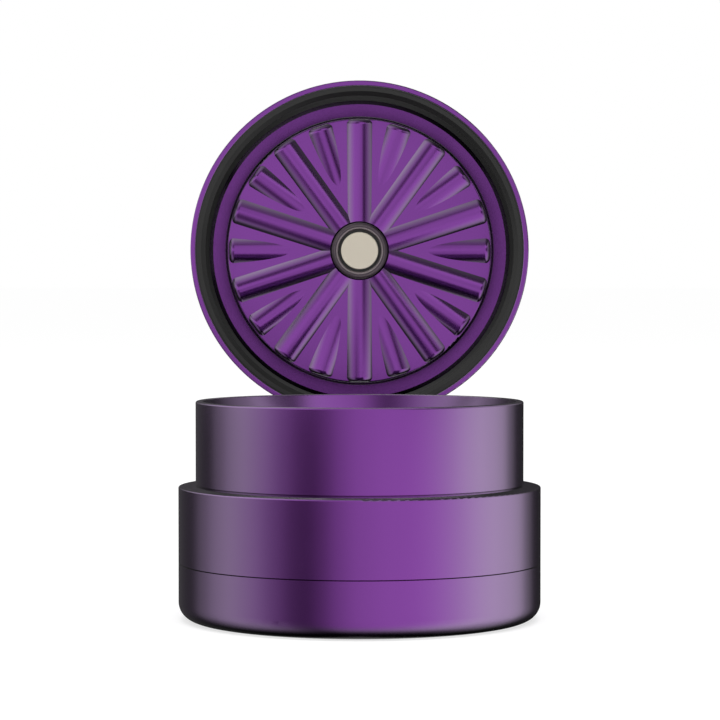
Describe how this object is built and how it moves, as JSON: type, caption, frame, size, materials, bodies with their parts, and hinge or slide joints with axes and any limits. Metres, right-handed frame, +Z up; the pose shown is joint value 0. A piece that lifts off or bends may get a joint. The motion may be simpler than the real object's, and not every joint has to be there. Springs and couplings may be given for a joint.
{
  "type": "herb hand mill",
  "caption": "Round purple metal hand mill for dry herbs: catch cup, body with a tall neck and slotted stator, and a lid whose ridged rotor and magnet show, lifted off behind it.",
  "frame": {"origin": "middle of the catch cup's underside, on the table", "axes": "+Z up along the mill's axis; -Y is the front, which the lid's mouth faces; +X to the right seen from the front"},
  "size_m": [0.063, 0.0861, 0.096],
  "materials": {
    "anodised_purple": "satin purple anodised aluminium",
    "glide_black": "moulded acetal, satin",
    "seal_black": "black rubber",
    "hub_steel": "dark turned steel",
    "nickel": "nickel plated magnet",
    "fastener_steel": "plain stainless"
  },
  "bodies": {
    "catch": {"catch_cup": "anodised_purple", "catch_seal": "seal_black"},
    "body": {"mill_body": "anodised_purple", "stator_pin_1": "fastener_steel", "stator_pin_2": "fastener_steel", "stator_pin_3": "fastener_steel"},
    "stator": {"stator_plate": "anodised_purple", "stator_hub": "hub_steel", "stator_hub_nut": "fastener_steel", "stator_magnet": "nickel"},
    "lid_ring": {"glide_ring": "glide_black"},
    "lid": {"lid_shell": "anodised_purple", "rotor": "anodised_purple", "rotor_hub": "hub_steel", "hub_screw": "fastener_steel", "magnet_sleeve": "seal_black", "lid_magnet": "nickel", "drive_pin_1": "fastener_steel", "drive_pin_2": "fastener_steel", "drive_pin_3": "fastener_steel"}
  },
  "joints": [
    {"name": "body_pull", "type": "slide", "parent": "catch", "child": "body", "axis": [0, 0, 1], "range_m": [0, 0.012]},
    {"name": "stator_lift", "type": "slide", "parent": "body", "child": "stator", "axis": [0, 0, 1], "range_m": [0, 0.016]},
    {"name": "lid_tip", "type": "hinge", "parent": "body", "child": "lid_ring", "pos_m": [0, 0.02805, 0.03645], "axis": [1, 0, 0], "range_deg": [0, 90]},
    {"name": "lid_turn", "type": "hinge", "parent": "lid_ring", "child": "lid", "pos_m": [0, 0.0336, 0.0645], "axis": [0, -1, 0], "continuous": true}
  ]
}
